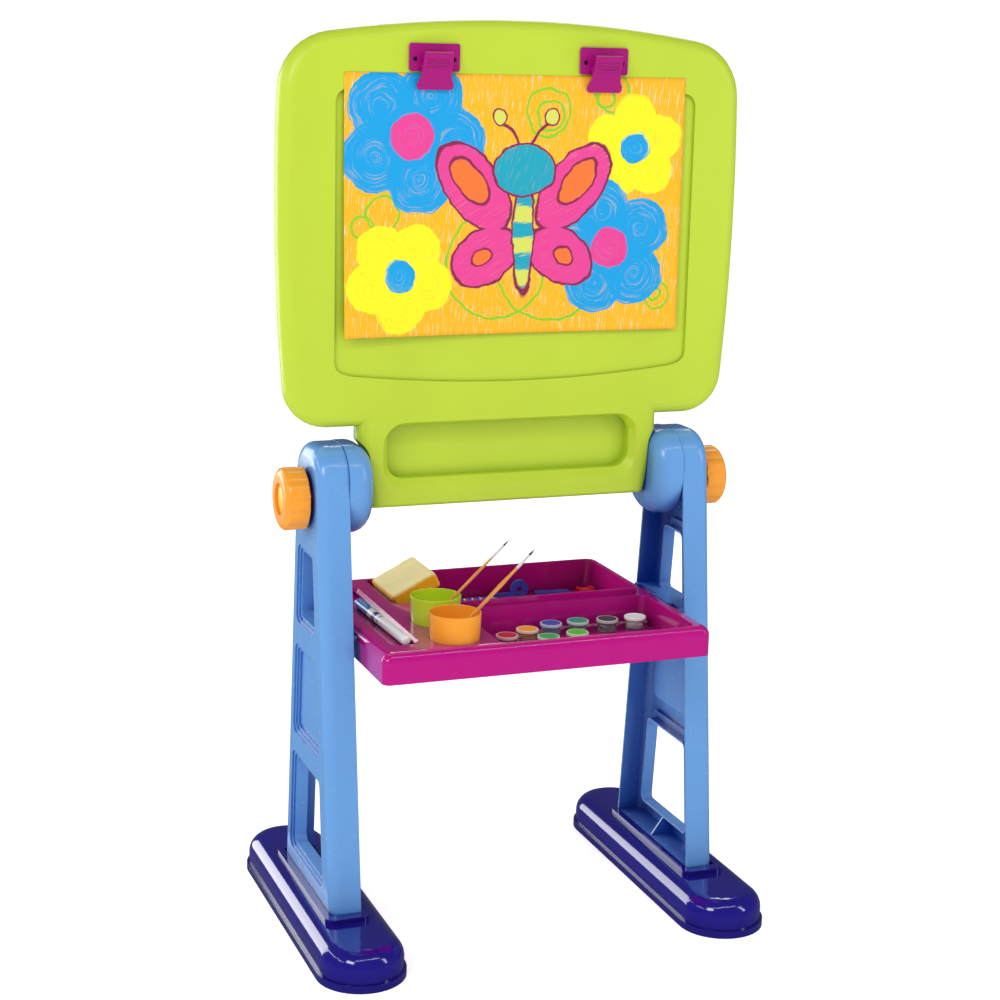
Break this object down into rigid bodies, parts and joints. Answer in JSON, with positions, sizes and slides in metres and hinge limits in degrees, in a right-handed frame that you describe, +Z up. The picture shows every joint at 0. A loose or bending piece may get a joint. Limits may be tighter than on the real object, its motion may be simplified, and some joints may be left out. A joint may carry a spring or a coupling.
{
  "type": "children's easel",
  "caption": "Free-standing children's plastic easel: tilting drawing board with two sprung clips on two legs with long feet, a paint tray between them and painting things on it.",
  "frame": {"origin": "on the floor, in the middle of the feet", "axes": "+Z up, +X to the right of a child facing the board, -Y towards the child"},
  "size_m": [0.572, 0.428, 1.072],
  "materials": {
    "board_lime": "satin moulded plastic",
    "leg_blue": "satin moulded plastic",
    "foot_navy": "glossy moulded plastic",
    "tray_magenta": "glossy moulded plastic",
    "clip_magenta": "glossy moulded plastic",
    "knob_orange": "satin moulded plastic",
    "disc_lime": "glossy moulded plastic",
    "steel": "plated steel",
    "brass": "plain brass",
    "washer_rubber": "matt rubber",
    "paper": "crayoned drawing paper",
    "cup_green": "glossy moulded plastic",
    "cup_orange": "glossy moulded plastic",
    "brush_wood": "varnished wood",
    "ferrule": "bright aluminium",
    "bristle": "fine dark hair",
    "marker_white": "glossy plastic",
    "marker_blue": "glossy plastic",
    "sponge_foam": "open-cell foam",
    "pot_clear": "clear plastic",
    "lid_red": "glossy plastic",
    "lid_yellow": "glossy plastic",
    "lid_blue": "glossy plastic",
    "lid_teal": "glossy plastic",
    "lid_black": "glossy plastic",
    "lid_white": "glossy plastic",
    "lid_green": "glossy plastic",
    "lid_lime": "glossy plastic",
    "pencil_paint": "painted wood",
    "crayon_wax": "wax",
    "tool_plastic": "moulded plastic",
    "sharpener_red": "moulded plastic"
  },
  "bodies": {
    "stand": {"foot_left": "foot_navy", "foot_right": "foot_navy", "foot_screws": "steel", "leg_left": "leg_blue", "leg_right": "leg_blue", "hub_cap_left": "leg_blue", "hub_cap_right": "leg_blue", "washer_left": "washer_rubber", "washer_right": "washer_rubber", "tray": "tray_magenta"},
    "knob_left": {"knob_left": "knob_orange", "knob_disc_left": "disc_lime", "pivot_bolt_left": "steel"},
    "knob_right": {"knob_right": "knob_orange", "knob_disc_right": "disc_lime", "pivot_bolt_right": "steel"},
    "board": {"nut_insert_left": "brass", "nut_insert_right": "brass", "board_front": "board_lime", "board_back": "board_lime", "board_screws": "steel", "clip_base_left": "clip_magenta", "clip_base_right": "clip_magenta", "clip_pins": "steel", "clip_spring_left": "steel", "clip_spring_right": "steel", "clip_screws": "steel", "paper_sheet": "paper"},
    "clip_lever_left": {"clip_lever_left": "clip_magenta"},
    "clip_lever_right": {"clip_lever_right": "clip_magenta"},
    "cup_green": {"cup_green": "cup_green"},
    "cup_orange": {"cup_orange": "cup_orange"},
    "thin_brush": {"thin_brush_handle": "brush_wood", "thin_brush_ferrule": "ferrule", "thin_brush_bristles": "bristle"},
    "thick_brush": {"thick_brush_handle": "brush_wood", "thick_brush_ferrule": "ferrule", "thick_brush_bristles": "bristle"},
    "marker": {"marker_barrel": "marker_white"},
    "marker_cap": {"marker_cap": "marker_blue"},
    "sponge": {"sponge": "sponge_foam"},
    "pots_row": {"paint_pots_row": "pot_clear"},
    "pots_pair": {"paint_pots_pair": "pot_clear"},
    "pencil": {"pencil": "pencil_paint"},
    "crayon": {"crayon": "crayon_wax"},
    "shaping_tool": {"shaping_tool": "tool_plastic"},
    "sharpener": {"sharpener": "sharpener_red"},
    "lid_red": {"lid_red": "lid_red"},
    "lid_yellow": {"lid_yellow": "lid_yellow"},
    "lid_blue": {"lid_blue": "lid_blue"},
    "lid_teal": {"lid_teal": "lid_teal"},
    "lid_black": {"lid_black": "lid_black"},
    "lid_white": {"lid_white": "lid_white"},
    "lid_green": {"lid_green": "lid_green"},
    "lid_lime": {"lid_lime": "lid_lime"}
  },
  "joints": [
    {"name": "knob_left_turn", "type": "hinge", "parent": "stand", "child": "knob_left", "pos_m": [-0.27, 0.006, 0.525], "axis": [-1, 0, 0], "continuous": true},
    {"name": "knob_right_turn", "type": "hinge", "parent": "stand", "child": "knob_right", "pos_m": [0.27, 0.006, 0.525], "axis": [1, 0, 0], "continuous": true},
    {"name": "board_tilt", "type": "hinge", "parent": "stand", "child": "board", "pos_m": [0, 0.006, 0.525], "axis": [-1, 0, 0], "range_deg": [-10, 90]},
    {"name": "clip_left_open", "type": "hinge", "parent": "board", "child": "clip_lever_left", "pos_m": [-0.1075, -0.0215, 1.019], "axis": [-1, 0, 0], "range_deg": [0, 35], "stiffness_Nm_per_rad": 0.06, "springref_deg": -34.38},
    {"name": "clip_right_open", "type": "hinge", "parent": "board", "child": "clip_lever_right", "pos_m": [0.1005, -0.0215, 1.019], "axis": [-1, 0, 0], "range_deg": [0, 35], "stiffness_Nm_per_rad": 0.06, "springref_deg": -34.38},
    {"name": "cup_green_lift", "type": "slide", "parent": "stand", "child": "cup_green", "axis": [0, 0, 1], "range_m": [0, 0.02]},
    {"name": "cup_orange_lift", "type": "slide", "parent": "stand", "child": "cup_orange", "axis": [0, 0, 1], "range_m": [0, 0.04]},
    {"name": "thin_brush_draw", "type": "slide", "parent": "cup_green", "child": "thin_brush", "axis": [0.7815, 0.287, 0.554], "range_m": [0, 0.025]},
    {"name": "thick_brush_draw", "type": "slide", "parent": "cup_orange", "child": "thick_brush", "axis": [0.7762, 0.2791, 0.5654], "range_m": [0, 0.08]},
    {"name": "marker_lift", "type": "slide", "parent": "stand", "child": "marker", "axis": [0, 0, 1], "range_m": [0, 0.06]},
    {"name": "marker_cap_pull", "type": "slide", "parent": "marker", "child": "marker_cap", "axis": [-0.0349, 0.9994, 0], "range_m": [0, 0.045]},
    {"name": "sponge_lift", "type": "slide", "parent": "stand", "child": "sponge", "axis": [0, 0, 1], "range_m": [0, 0.06]},
    {"name": "pots_row_lift", "type": "slide", "parent": "stand", "child": "pots_row", "axis": [0, 0, 1], "range_m": [0, 0.05]},
    {"name": "pots_pair_lift", "type": "slide", "parent": "stand", "child": "pots_pair", "axis": [0, 0, 1], "range_m": [0, 0.05]},
    {"name": "pencil_lift", "type": "slide", "parent": "stand", "child": "pencil", "axis": [0, 0, 1], "range_m": [0, 0.06]},
    {"name": "crayon_lift", "type": "slide", "parent": "stand", "child": "crayon", "axis": [0, 0, 1], "range_m": [0, 0.06]},
    {"name": "shaping_tool_lift", "type": "slide", "parent": "stand", "child": "shaping_tool", "axis": [0, 0, 1], "range_m": [0, 0.06]},
    {"name": "sharpener_lift", "type": "slide", "parent": "stand", "child": "sharpener", "axis": [0, 0, 1], "range_m": [0, 0.06]},
    {"name": "lid_red_lift", "type": "slide", "parent": "pots_row", "child": "lid_red", "axis": [0, 0, 1], "range_m": [0, 0.03]},
    {"name": "lid_yellow_lift", "type": "slide", "parent": "pots_row", "child": "lid_yellow", "axis": [0, 0, 1], "range_m": [0, 0.03]},
    {"name": "lid_blue_lift", "type": "slide", "parent": "pots_row", "child": "lid_blue", "axis": [0, 0, 1], "range_m": [0, 0.03]},
    {"name": "lid_teal_lift", "type": "slide", "parent": "pots_row", "child": "lid_teal", "axis": [0, 0, 1], "range_m": [0, 0.03]},
    {"name": "lid_black_lift", "type": "slide", "parent": "pots_row", "child": "lid_black", "axis": [0, 0, 1], "range_m": [0, 0.03]},
    {"name": "lid_white_lift", "type": "slide", "parent": "pots_row", "child": "lid_white", "axis": [0, 0, 1], "range_m": [0, 0.03]},
    {"name": "lid_green_lift", "type": "slide", "parent": "pots_pair", "child": "lid_green", "axis": [0, 0, 1], "range_m": [0, 0.03]},
    {"name": "lid_lime_lift", "type": "slide", "parent": "pots_pair", "child": "lid_lime", "axis": [0, 0, 1], "range_m": [0, 0.03]}
  ]
}
